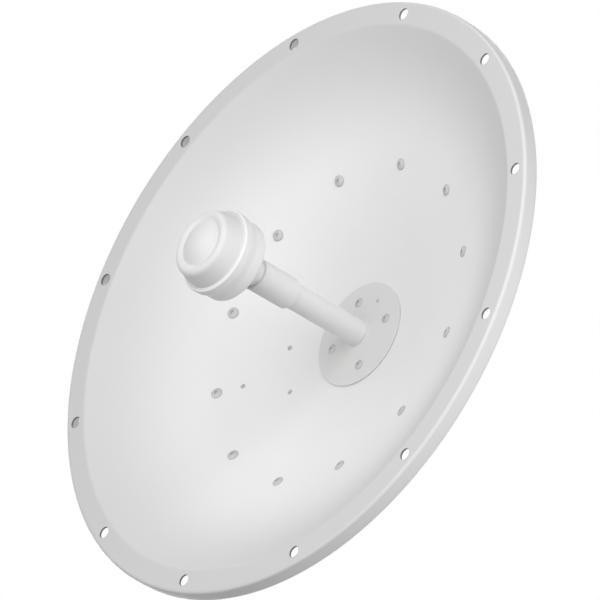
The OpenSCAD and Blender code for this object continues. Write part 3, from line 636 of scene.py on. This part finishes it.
sleeve_rear, sleeve_front, sleeve_r = beam_box("feed_sleeve")
sleeve_bore_r, sleeve_chamfer = boom_r + fit, 2.5 * mm
beam_piece("boom_sleeve", turned([
    [sleeve_bore_r, sleeve_rear, 0.1 * mm], [sleeve_r - sleeve_chamfer, sleeve_rear, 0.4 * mm],
    [sleeve_r, sleeve_rear + sleeve_chamfer, 0.6 * mm], [sleeve_r, sleeve_front, 0.5 * mm],
    [sleeve_bore_r, sleeve_front, 0.1 * mm]], boom_sides), "feed_sleeve", "white_coat", powder_coat)


# Feed head. Two mouldings of white ABS: a cup, flared to a band at its mouth, and a cap that plugs
# into it, with a rounded nose ring, a groove and a shallow dome. A seal lies between them.
cup_z, mouth_z, mouth_r = beam_box("feed_cup")
apex_z = beam_box("feed_cap")[1]
wall, cup_r = 2.6 * mm, 43 * mm
band_z = mouth_z - 8 * mm
flare_z, ledge_z = band_z - 9 * mm, band_z - 1.5 * mm
boom_hole_r = boom_r + clearance
cap_r = mouth_r - wall - 0.2 * mm
neck_r, nose_r = cap_r - 1.4 * mm, 34.5 * mm
dome_r, dome_rise = 25 * mm, 7.5 * mm
groove_z = apex_z - dome_rise
nose_z = groove_z + 4.5 * mm


def moulded(name, low, high):
    """Moulded ABS between two near shades: a satin skin, finely grained at 1.6 mm, and a flow of
    the melt some 35 mm wide that varies the shade and the gloss."""
    return clouded(name, low, high, (35 * mm, 2.0), (0.34, 0.46), {"Specular IOR Level": 0.25},
                   (1.6 * mm, 2.0), (0.08, 0.04 * mm))


# White ABS for the cup, and the same ABS painted a shade greyer for the cap, as painted shade.
cup_abs = moulded("white_moulded_abs", "#EAEAE9", "#EFEFF0")
cap_abs = moulded("grey_white_moulded_abs", "#DFDFDE", "#E4E4E5")
beam_piece("head_cup", turned([
    [boom_hole_r, cup_z, 0.4 * mm], [cup_r, cup_z, 5 * mm], [cup_r, flare_z, 3 * mm],
    [mouth_r, band_z, 1.2 * mm], [mouth_r, mouth_z, 2 * mm], [mouth_r - wall, mouth_z, 0.3 * mm],
    [mouth_r - wall, ledge_z, 0.2 * mm], [cup_r - wall, ledge_z, 0.2 * mm],
    [cup_r - wall, cup_z + wall, 1.5 * mm], [boom_hole_r, cup_z + wall, 0.3 * mm]], turned_sides),
    "feed_cup", "white_plastic", cup_abs)


ball = (dome_r**2 + dome_rise**2) / (2 * dome_rise)
cap_corners = np.array([
    [cap_r, band_z], [cap_r, mouth_z], [neck_r, mouth_z], [nose_r, nose_z], [dome_r, groove_z]])
cap_paths = []
for inset, bends in ((0, (0.3, 0.4, 0.6, 6, 0)), (wall, (0.3, 1.5, 0.3, 3.4, 0))):
    corners = with_last(moved_in(cap_corners, inset, closed=False), np.array(bends) * mm)
    side_path = rounded(np.vstack([corners, [corners[-1, 0], corners[0, 1], 0]]), 8)[:-1]
    dome_turn = np.linspace(math.asin((dome_r - 0.08 * inset) / (ball - inset)), 0, 15)
    dome_path = upright(ball - inset, -dome_turn) + (0, apex_z - ball)
    cap_paths.append(np.vstack([side_path, dome_path]))
beam_piece("head_cap", ringed(*np.vstack([cap_paths[0], cap_paths[1][::-1]]).T, turned_sides),
           "feed_cap", "white_plastic", cap_abs, crease=25)


# Tilt bracket. One blank of 3 mm steel, punched and folded into a channel, then galvanised. Its
# base is bolted to the pan, and each ear has the pivot hole and an arc slot for the lock bolt.
elevation = next(joint for joint in frame["joints"] if joint["type"] == "hinge")
pivot_b = -vertex_y + elevation["pos_m"][1]
tilt_low, tilt_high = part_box("tilt_bracket")
tilt_half = tilt_high.x
plate_t, fold_r = 3 * mm, 5 * mm
soften, net_margin = 0.5 * mm, 1.5 * mm
path_pitch, net_pitch = 2 * mm, 4 * mm
bolt_d = 8 * mm
bolt_x, bolt_y = 14 * mm, 42 * mm
base_b = tilt_low.y - vertex_y
ear_r = 14 * mm
lock_at = 46 * mm
slot_swing = math.radians(15)
crown_r, crown_half = lock_at + 10 * mm, 28
base_foot, base_top = tilt_low.z, crown_r * math.cos(math.radians(crown_half))


def resampled(corners, pitch):
    """Closed path with a point at each corner and more between, no further apart than the pitch."""
    return np.vstack([
        np.linspace(a, b, max(math.ceil(math.dist(a, b) / pitch), 1), endpoint=False)
        for a, b in zip(corners, np.roll(corners, -1, 0))])


def hole(x, y, r, sides=32):
    """Closed path round a hole, clockwise."""
    return ((x, y) + polar(r, around(sides)))[::-1]


def four_at(x, y):
    """Four places: both signs of x, each with both signs of y."""
    return np.array([[a, b] for a in (-x, x) for b in (-y, y)])


def within(points, paths):
    """True for points inside the paths: a ray to the right crosses an odd number of sides."""
    ax, ay = np.vstack(paths).T
    bx, by = np.vstack([np.roll(path, -1, 0) for path in paths]).T
    x, y = points[:, :1], points[:, 1:]
    at = ax + (y - ay) * (bx - ax) / np.where(by == ay, 1, by - ay)
    return (((ay > y) != (by > y)) & (x < at)).sum(1) % 2 == 1


def plate(paths, thickness, inside, lift):
    """Plate cut to closed paths, its outline counter-clockwise and its holes clockwise. Each face
    is a net of triangles drawn in from the edge, and three bands join the two round the edge. lift
    turns two coordinates in the flat and a depth into a point of the bent plate."""
    faces = [moved_in(path, soften) for path in paths]
    inside = inside[within(inside, [moved_in(path, net_margin) for path in paths])]
    flat, edge = np.vstack([*faces, inside]), np.vstack(paths)
    runs = np.split(np.arange(len(edge)), np.cumsum([len(path) for path in paths])[:-1])
    rims = np.vstack([np.column_stack([run, np.roll(run, -1)]) for run in runs])
    made = delaunay_2d_cdt([Vector(p) for p in flat.tolist()], rims.tolist(), [], 0, 1e-9)
    source = np.array([first[0] if first else -1 for first in made[3]])
    net = source[np.array(made[2])]
    net = net[(net >= 0).all(1)]
    net = net[within(flat[net].mean(1), faces)]
    count = len(flat)
    points = np.vstack([lift(*flat.T, 0), lift(*flat.T, thickness),
                        lift(*edge.T, soften), lift(*edge.T, thickness - soften)])
    bands = np.vstack([strips(np.vstack([
        run, 2 * count + run, 2 * count + len(edge) + run, count + run])) for run in runs])
    return points, [*net.tolist(), *(net[:, ::-1] + count).tolist(), *bands.tolist()]


def channel(half, web_at, sense):
    """Fold of a channel: the flat runs straight across the web, round a quarter circle at each side
    and straight along the ears. Depth goes in from the outer face."""
    straight = half - fold_r
    quarter = fold_r * math.pi / 2

    def lift(u, v, depth):
        side, far = np.sign(u), np.abs(u)
        bend = np.clip((far - straight) / fold_r, 0, math.pi / 2)
        x = np.minimum(far, straight) + (fold_r - depth) * np.sin(bend)
        b = fold_r - (fold_r - depth) * np.cos(bend) + np.maximum(far - straight - quarter, 0)
        return np.stack([side * x, vertex_y + web_at + sense * b, v], 1)

    def flatten(ear):
        deep, up = np.asarray(ear, float).T
        u = straight + np.where(deep < fold_r, deep / fold_r * quarter, quarter + deep - fold_r)
        return np.column_stack([u, up])

    return lift, flatten, np.hstack([[0], straight + np.linspace(0, quarter, 7)])


def folded(lift, lines, ear, cuts, low, top):
    """Channel cut and folded from one blank, whose outline is one ear's path and its mirror image.
    The net's inner points lie on the lines of the fold."""
    outline = resampled(np.vstack([ear, ear[::-1] * (-1, 1)]), path_pitch)
    levels = np.arange(low, top, net_pitch)
    inside = np.unique([[side * u, v] for side in (-1, 1) for u in lines for v in levels], axis=0)
    return plate([outline, *cuts], plate_t, inside, lift)


lift, flatten, lines = channel(tilt_half, base_b, 1)
arm = pivot_b - base_b
quarter_turn = np.linspace(-math.pi / 2, 0, 14)
crown = np.radians(np.linspace(90 - crown_half, 90 + crown_half, 24))
ear = flatten(np.vstack([
    [[0, base_foot]], polar(ear_r, quarter_turn) + (arm, 0), polar(crown_r, crown) + (arm, 0),
    [[0, base_top]]]))
swing, cap = np.linspace(-slot_swing, slot_swing, 16), np.linspace(0, math.pi, 10)
slot_half = bolt_d / 2 + clearance
far_cap = upright(lock_at, slot_swing) + upright(slot_half, slot_swing + cap)[1:-1]
near_cap = upright(lock_at, -slot_swing) + upright(slot_half, math.pi - slot_swing + cap)[1:-1]
slot = flatten(np.vstack([upright(lock_at + slot_half, swing), far_cap,
                          upright(lock_at - slot_half, swing)[::-1], near_cap]) + (arm, 0))
pivot_u = flatten([[arm, 0]])[0, 0]
bolt_places = four_at(bolt_x, bolt_y)
cuts = [slot[::-1], slot * (-1, 1), *[hole(u, 0, bolt_d / 2 + fit) for u in (-pivot_u, pivot_u)],
        hole(0, 0, pan_bore_r, 64), *[hole(x, y, bolt_d / 2 + clearance) for x, y in bolt_places]]
solid("tilt_bracket_folded", folded(lift, lines, ear, cuts, base_foot, crown_r),
      "dish", "tilt_bracket", "galvanised_steel", galvanised)


# Bracket bolts. Four M8 hexagon bolts with their heads inside the pan hold the tilt bracket, each
# with a plain washer and a nut behind it. Zinc-plated steel with rolled threads.
washer_share, head_share = 0.2, 0.65
washer_t, nut_h = washer_share * bolt_d, nut_share * bolt_d
bracket_thread, ear_thread = 14 * mm, 12 * mm


def helix(run, pitch, sides):
    """Depth of a screw thread at each distance along it and each angle, from 0 at its crest to 1 at
    its root: a wave one pitch long that moves on by a pitch in one turn."""
    return np.abs(((run[:, None] / pitch - np.arange(sides) / sides) % 1) * 2 - 1)


def thread(r, pitch, depth, start, end, sides):
    """Radii and heights of the rings of a screw thread, six to a pitch."""
    rows = np.linspace(start, end, max(int(abs(end - start) / pitch * 6), 2))
    return r - depth * helix(rows, pitch, sides), rows


def hex_bolt(d, length, threaded, sides=bolt_sides):
    """Hexagon bolt, underside of the head at height 0: chamfered head above, shank below, with a
    thread on its last part and a chamfered end."""
    six, flat, cut = chamfered(corner_share * d, flat_share, sides)
    h = head_share * d
    wave_r, wave_z = thread(d / 2, 0.156 * d, 0.07 * d, 0.1 * d - length, threaded - length, sides)
    return ringed(
        [0, 0.4 * d, *wave_r, d / 2, d / 2, six - 0.02 * d, six, six, flat, 0],
        [-length, -length, *wave_z, threaded - length + 0.02 * d, 0, 0, 0.02 * d, h - cut, h, h],
        sides)


def washer(d):
    """Plain washer from height 0 up, with its edges broken."""
    inner, outer, t = d / 2 + clearance, d, washer_share * d
    return turned([[inner, 0, 0.0125 * d], [outer, 0, 0.05 * d], [outer, t, 0.05 * d],
                   [inner, t, 0.0125 * d]], bolt_sides, 3)


def m8_set(group, part, body, *copies):
    """Makes a piece of all the bolts, washers or nuts of a group."""
    solid(f"{group}_{part}_m8", seated(*copies), body, f"{group}_{part}", "zinc_steel", zinc_plate)


bracket_grip = pan_t + plate_t + washer_t + nut_h + thread_spare
washer_z = -base_b - plate_t - washer_t
for part, shape, z in (("bolts", hex_bolt(bolt_d, bracket_grip, bracket_thread), pan_z),
                       ("washers", washer(bolt_d), washer_z),
                       ("nuts", hex_nut(bolt_d), washer_z - nut_h)):
    m8_set("bracket", part, "dish", shape, with_last(bolt_places, z))


# Pole bracket. A second folded channel of 3 mm galvanised steel, inside the ears of the first. Its
# web is clamped to the mast by the U-bolts, and its ears carry the pivot and lock bolts.
pole_low, pole_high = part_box("pole_bracket")
pole_half = pole_high.x
web_back_b = pole_high.y - vertex_y
web_foot, web_top = pole_low.z, pole_high.z
clamp_at, leg_x = 29 * mm, 29.2 * mm
clamps = ("upper", clamp_at), ("lower", -clamp_at)
low_r, top_r = ear_r - 1 * mm, bolt_d / 2 + 7 * mm
deep = web_back_b - pivot_b
lift, flatten, lines = channel(pole_half, web_back_b, -1)
ear = flatten(np.vstack([
    [[0, web_foot]], polar(low_r, quarter_turn) + (deep, 0),
    polar(top_r, quarter_turn + math.pi / 2) + (deep, lock_at), [[0, web_top]]]))
deep_u = flatten([[deep, 0]])[0, 0]
leg_places = four_at(leg_x, clamp_at)
hole_places = [*[(side * deep_u, v) for side in (-1, 1) for v in (0, lock_at)], *leg_places]
cuts = [hole(x, y, bolt_d / 2 + clearance) for x, y in hole_places]
solid("pole_bracket_folded", folded(lift, lines, ear, cuts, web_foot, web_top),
      "mast_mount", "pole_bracket", "galvanised_steel", galvanised)


# Pivot and lock bolts. An M8 bolt, washer and nut through each pair of ears: two on the elevation
# axis, and two in the arc slots that hold the angle once they are tightened.
ear_grip = 2 * plate_t + (tilt_half - plate_t - pole_half) + washer_t + nut_h + thread_spare
both_sides = np.array([[1.0, 0, 0], [-1.0, 0, 0]])
for group, height in (("pivot", 0.0), ("lock", lock_at)):
    for part, shape, x in (
            ("bolts", hex_bolt(bolt_d, ear_grip, ear_thread), tilt_half + washer_t),
            ("washers", washer(bolt_d), tilt_half),
            ("nuts", hex_nut(bolt_d), pole_half - plate_t - nut_h)):
        at = both_sides * x + (0, height, -pivot_b)
        m8_set(group, part, "mast_mount", shape, at, both_sides, (0, 1, 0))


# Mast saddles. Two castings of aluminium alloy against the back of the web, each hollowed to the
# mast, with a foot on either side that a clamp leg passes through.
saddle_low, saddle_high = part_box("upper_saddle")
saddle_h, saddle_half = saddle_high.z - saddle_low.z, saddle_high.x
mast_r, mast_v = 25 * mm, -vertex_y - web_back_b
foot_t, tip_v, tip_half = 8 * mm, 17 * mm, 24 * mm
seat_end = math.asin((mast_v - tip_v) / mast_r)
seat = np.linspace(seat_end, math.pi - seat_end, 40)
seat_arc = with_last(polar(mast_r, -seat) + (0, mast_v), 0)
saddle_path = rounded(np.vstack([
    [[-saddle_half, 0, 0.6 * mm], [saddle_half, 0, 0.6 * mm], [saddle_half, foot_t, 2 * mm],
     [tip_half, foot_t, 2 * mm], [tip_half, tip_v, 0.5 * mm]], seat_arc,
    [[-tip_half, tip_v, 0.5 * mm], [-tip_half, foot_t, 2 * mm], [-saddle_half, foot_t, 2 * mm]]]))

# Sand-cast aluminium alloy: a pale, dull grey with the grain of the mould, about 1 mm, and darker
# patches where it has oxidised.
cast_alloy = clouded("sand_cast_aluminium", "#8F9396", "#BFC2C4", (12 * mm, 3.0, 0.6), 0.55,
                     {"Metallic": 0.85}, (1.1 * mm, 4.0, 0.7), (0.5, 0.25 * mm))

for name, level in clamps:
    casting = plate([saddle_path], saddle_h, np.zeros((0, 2)), lambda u, v, depth: np.stack(
        [u, vertex_y + web_back_b + v, np.full(len(u), level + saddle_h / 2 - depth)], 1))
    solid(f"{name}_saddle_casting", casting, "mast_mount", f"{name}_saddle", "cast_alloy",
          cast_alloy)


# U-bolts. Two 8 mm rods bent round the mast, with a rolled thread on each leg. The legs pass the
# saddle and the web, and a washer and nut on each pull the mast into its seat.
leg_end_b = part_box("upper_u_bolt")[0].y - vertex_y
leg_thread, leg_pitch, leg_depth = 26 * mm, 1.25 * mm, 0.55 * mm


def u_bolt(sides=24):
    """Bent rod: a circle carried along a leg, half round the mast and along the other leg. On the
    threaded length its radius falls and rises once a pitch, in a helix."""
    leg, r = -vertex_y - leg_end_b, bolt_d / 2
    cut = np.hstack([[0, 0, 0.5 * mm], np.arange(0.9 * mm, leg_thread, leg_pitch / 6)])
    plain = np.linspace(leg_thread + 0.2 * mm, leg, 5)
    round_s = leg + leg_x * np.linspace(0, math.pi, 49)[1:-1]
    whole = 2 * leg + math.pi * leg_x
    s = np.hstack([cut, plain, round_s, (whole - plain)[::-1], (whole - cut)[::-1]])
    from_tip = np.minimum(s, whole - s)
    bend = np.clip((s - leg) / leg_x, 0, math.pi)
    cut_r = r - leg_depth * helix(from_tip, leg_pitch, sides)
    radius = np.where((from_tip < leg_thread)[:, None], cut_r, r)
    radius[[1, -2]], radius[[2, -3]] = r - 1.1 * mm, r - 0.8 * mm
    radius[[0, -1]] = 0
    ring = polar(radius, around(sides))
    side = with_last(polar(1.0, math.pi - bend), 0)
    middle = leg_x * side
    middle[:, 1] += vertex_y + leg_end_b + np.minimum(from_tip, leg)
    points = middle[:, None] + ring[..., :1] * side[:, None] + ring[..., 1:] * (0, 0, 1)
    return points.reshape(-1, 3), strips(np.arange(radius.size).reshape(radius.shape))


points, quads = u_bolt()
for name, level in clamps:
    solid(f"{name}_u_bolt_bent", (points + (0, 0, level), quads), f"{name}_clamp", f"{name}_u_bolt",
          "zinc_steel", zinc_plate)
web_z = plate_t - web_back_b
for part, shape, z in (("washers", washer(bolt_d), web_z),
                       ("nuts", hex_nut(bolt_d), web_z + washer_t)):
    m8_set("clamp", part, "mast_mount", shape, with_last(leg_places, z))


# Radio ports. Two bulkhead connectors through the pan, one for each polarisation: a nickel-plated
# body with a threaded barrel, a thin hexagon nut, an insulator and a gilt contact.
port_places = np.array([[74, 0, 0], [-74, 0, 0]]) * mm
port_nut_t, port_len, port_body_len = 3 * mm, 10 * mm, 9 * mm
port_bore_r, port_r, shank_r, port_body_r = 5.4 * mm, 7.9 * mm, 8.7 * mm, 10.2 * mm
contact_r, contact_tip_r, contact_tip = 1.5 * mm, 0.8 * mm, 3 * mm
port_pitch, port_depth, port_edge, port_sides = 1.06 * mm, 0.5 * mm, 0.8 * mm, 64
nut_face_z = pan_back_z - port_nut_t
port_end_z = nut_face_z - port_len
contact_z = nut_face_z - port_len / 2
body_z = pan_z + 1 * mm
body_end_z = body_z + port_body_len

# Nickel plate: a bright, slightly yellow silver with a soft cloud in its gloss.
nickel = clouded("nickel_plated_brass", "#B9B5AC", "#D2CEC6", (4 * mm, 3.0), (0.16, 0.3),
                 {"Metallic": 1.0})
# Gold over brass: a warm, bright yellow metal with a faint cloud in its shade.
gilt = clouded("gold_plated_brass", "#C79A45", "#E2BE72", (1.5 * mm, 2.0), 0.25, {"Metallic": 1.0})

root_r = port_r - port_depth
wave_r, wave_z = thread(port_r, port_pitch, port_depth, port_end_z + port_edge,
                        nut_face_z - port_edge, port_sides)
port_body = ringed(
    [0, port_bore_r, port_bore_r, port_bore_r + 0.4 * mm, port_r - port_edge, *wave_r, root_r,
     root_r, shank_r, shank_r, port_body_r, port_body_r, port_body_r - 0.5 * mm, 0],
    [pan_back_z, pan_back_z, port_end_z + 0.4 * mm, port_end_z, port_end_z, *wave_z,
     nut_face_z - 0.6 * mm, nut_face_z, nut_face_z, body_z, body_z, body_end_z - 0.5 * mm,
     body_end_z, body_end_z], port_sides)
thin_nut = nut(1.36 * shank_r, 0.98, port_nut_t, shank_r + fit, 0.3 * mm, port_sides)
contact = turned([
    [0, pan_back_z, 0], [0, contact_z + contact_tip, 0],
    [contact_tip_r, contact_z + contact_tip - 0.4 * mm, 0.1 * mm],
    [contact_tip_r, contact_z, 0.2 * mm], [contact_r, contact_z, 0.3 * mm],
    [contact_r, pan_back_z, 0]], 32, 4)
for name, shape, z, node, slot, finish in (
        ("port_bodies", port_body, 0, "rf_ports", "nickel", nickel),
        ("port_thin_nuts", thin_nut, nut_face_z, "port_nuts", "nickel", nickel),
        ("port_contacts_gilt", contact, 0, "port_contacts", "gilt_brass", gilt)):
    solid(name, seated(shape, port_places + (0, 0, z)), "dish", node, slot, finish)


# Sealed and inner pieces, kept as the CAD has them: gasket, seals and plug of rubber, plate
# and nuts of zinc-coated steel, the head's stop and nut, its radiator, insulators and coax lines.
# EPDM rubber: near black, dull, with a slight bloom.
rubber = clouded("epdm_rubber", "#2A2B2C", "#3C3D3F", (5 * mm, 4.0), 0.7)
# PTFE: a waxy, faintly cloudy white with a weak sheen.
ptfe = clouded("turned_ptfe", "#E4E3DE", "#F0EFEB", (3 * mm, 2.0), 0.5, {"IOR": 1.35})
# FEP cable jacket: a smooth, glossy brown, faintly mottled by the braid.
jacket = clouded("fep_cable_jacket", "#7A4E32", "#93623F", (1.2 * mm, 2.0), 0.3)
# Glass-fibre laminate: dull green with the weave of the cloth, 0.7 mm, just showing. A wave repeats
# twenty times in one unit of its scale.
laminate, place = started("glass_fibre_laminate")
weave = add(laminate, "TexWave", {
    "Vector": place, "Scale": 1 / (20 * 0.7 * mm), "Distortion": 0.4})
surfaced(laminate, mixed(laminate, weave.outputs["Fac"], linear("#3F6A4C"), linear("#4C7A58")), 0.4)
for finish, nodes in (
        (rubber, ("flange_gasket", "tube_plug", "cap_seal", "port_seals")),
        (galvanised, ("clamp_plate",)),
        (zinc_plate, ("flange_nuts",)),
        (cast_alloy, ("cup_stop", "cup_nut", "splash_plate")),
        (ptfe, ("dipole_post", "port_insulators")),
        (laminate, ("dipole_board",)),
        (jacket, ("coax_lines",))):
    for node in nodes:
        for slot in frame["nodes"][node].material_slots:
            slot.material = finish


# Studio. A white surround with no floor, as the dish hangs on a mast. Four lamps far wider than
# the dish: one down the beam, one on its right, one that lights the lip from below, and one behind
# for the mount. A long lens looks up from below the beam, at the photograph's angle.
scene = bpy.context.scene
scene.view_settings.view_transform = "Standard"
world = bpy.data.worlds.new("white_surround")
scene.world = world
world.use_nodes = True
world.node_tree.nodes.clear()
fill_level = 0.02
ray = add(world, "LightPath").outputs
seen = worked(world, "MAXIMUM", ray["Is Camera Ray"], ray["Is Glossy Ray"])
seen = worked(world, "MAXIMUM", seen, ray["Is Transmission Ray"])
surround = add(world, "Background", {
    "Color": (1, 1, 1, 1), "Strength": ranged(world, seen, fill_level, 1.0)})
add(world, "OutputWorld", {"Surface": surround.outputs["Background"]})


def aimed(name, data, at, back):
    """Puts a lamp or a camera at a place, looking away from the direction behind it."""
    thing = bpy.data.objects.new(name, data)
    thing.location = at
    thing.rotation_mode = "QUATERNION"
    thing.rotation_quaternion = back.to_track_quat("Z", "Y")
    scene.collection.objects.link(thing)
    return thing


rim_centre = Vector((0, dish_low.y, 0))
lamp_distance, lamp_width = 2.4, 3.2
for name, way, power in (
        ("front_lamp", (-0.05, -0.995, -0.086), 55.0),
        ("right_lamp", (0.906, -0.423, 0.0), 48.0),
        ("under_lamp", (0.453, 0.423, -0.785), 37.0),
        ("back_lamp", (-0.45, 0.75, 0.48), 60.0)):
    lamp = bpy.data.lights.new(name, "AREA")
    lamp.shape, lamp.size, lamp.energy = "DISK", lamp_width, power
    direction = Vector(way).normalized()
    aimed(name, lamp, rim_centre + direction * lamp_distance, direction)

camera_right = Vector((1, 1, 0)).normalized()
camera_up = Vector((1, -1, 2)).normalized()
camera_back = Vector((1, -1, -1)).normalized()
pixel, picture_pixels = 1.001 * mm, 600
aim_right, aim_down = 6.0 * pixel, 3.6 * pixel
lens = bpy.data.cameras.new("camera")
lens.sensor_width, lens.lens, lens.clip_end = 36, 1600, 100
camera_distance = picture_pixels * pixel * lens.lens / lens.sensor_width
look_at = rim_centre + camera_right * aim_right - camera_up * aim_down
scene.camera = aimed("camera", lens, look_at + camera_back * camera_distance, camera_back)
